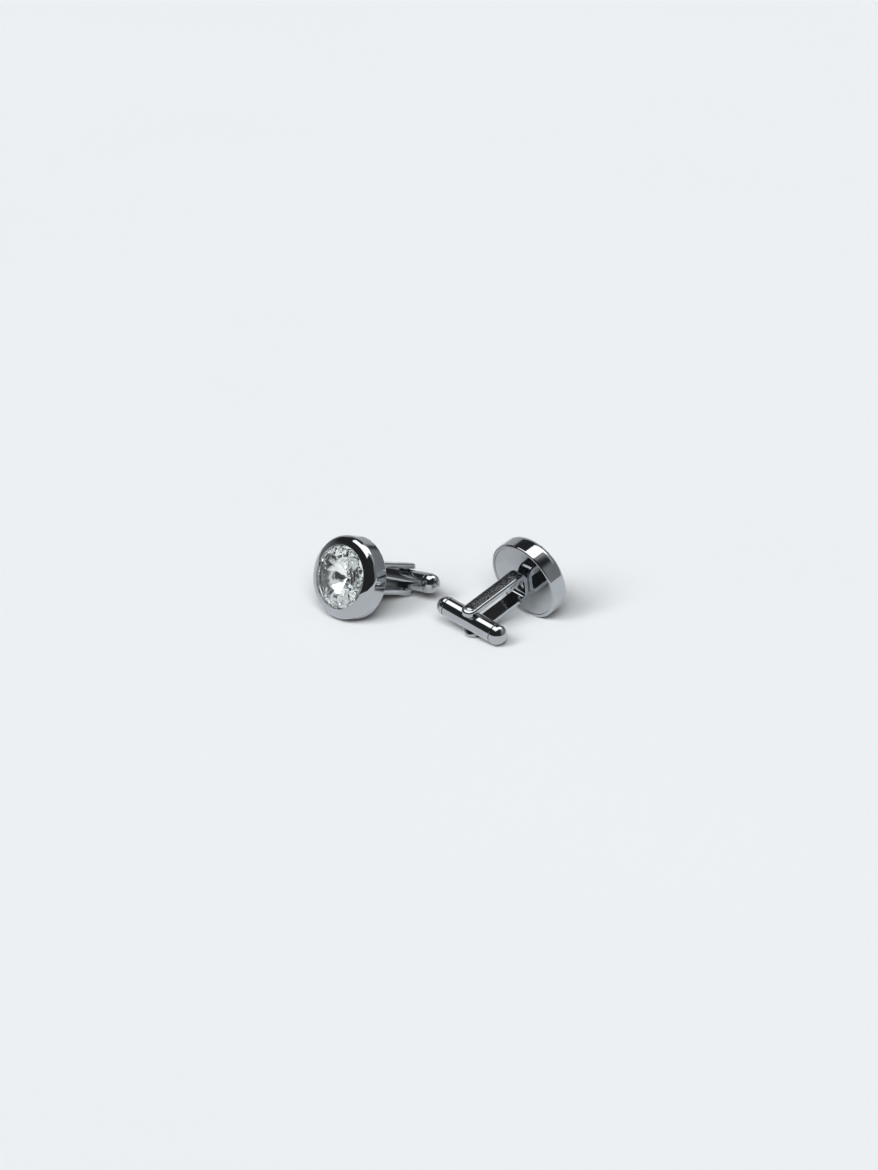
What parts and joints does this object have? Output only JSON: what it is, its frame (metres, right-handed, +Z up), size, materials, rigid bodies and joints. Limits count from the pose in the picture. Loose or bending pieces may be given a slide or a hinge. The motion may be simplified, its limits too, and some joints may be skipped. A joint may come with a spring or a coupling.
{
  "type": "cufflink",
  "caption": "Round cufflinks: a pointed faceted crystal in a polished dark bezel, with a bullet toggle that swivels on a pin in a strap fork to pass through a shirt cuff.",
  "frame": {"origin": "on the ground, under the middle of the pair's outline", "axes": "+X across the pair from the left cufflink to the right one, +Y away from the viewer, +Z up"},
  "size_m": [0.0476, 0.0334, 0.016],
  "materials": {
    "plated_brass": "mirror polished gunmetal plating",
    "spring_steel": "plain hardened strip",
    "crystal_glass": "faceted, silver foil behind"
  },
  "bodies": {
    "left_cufflink": {"left_bezel": "plated_brass", "left_crystal": "crystal_glass", "left_back_plate": "plated_brass", "left_fork": "plated_brass", "left_post_rivet": "plated_brass", "left_pivot_pin": "plated_brass"},
    "left_toggle": {"left_toggle_barrel": "plated_brass", "left_end_cap_1": "plated_brass", "left_end_cap_2": "plated_brass", "left_click_spring": "spring_steel"},
    "right_cufflink": {"right_bezel": "plated_brass", "right_crystal": "crystal_glass", "right_back_plate": "plated_brass", "right_fork": "plated_brass", "right_post_rivet": "plated_brass", "right_pivot_pin": "plated_brass"},
    "right_toggle": {"right_toggle_barrel": "plated_brass", "right_end_cap_1": "plated_brass", "right_end_cap_2": "plated_brass", "right_click_spring": "spring_steel"}
  },
  "joints": [
    {"name": "left_toggle_swivel", "type": "hinge", "parent": "left_cufflink", "child": "left_toggle", "pos_m": [-0.00641, 0.01049, 0.00346], "axis": [0.1136, 0.2931, 0.9493], "continuous": true, "deforming": ["left_click_spring"]},
    {"name": "right_lift", "type": "slide", "parent": "left_cufflink", "child": "right_cufflink", "axis": [0, 0, 1], "range_m": [0, 0.03]},
    {"name": "right_toggle_swivel", "type": "hinge", "parent": "right_cufflink", "child": "right_toggle", "pos_m": [0.00609, -0.01037, 0.00345], "axis": [-0.0959, -0.3182, 0.9432], "continuous": true, "deforming": ["right_click_spring"]}
  ]
}
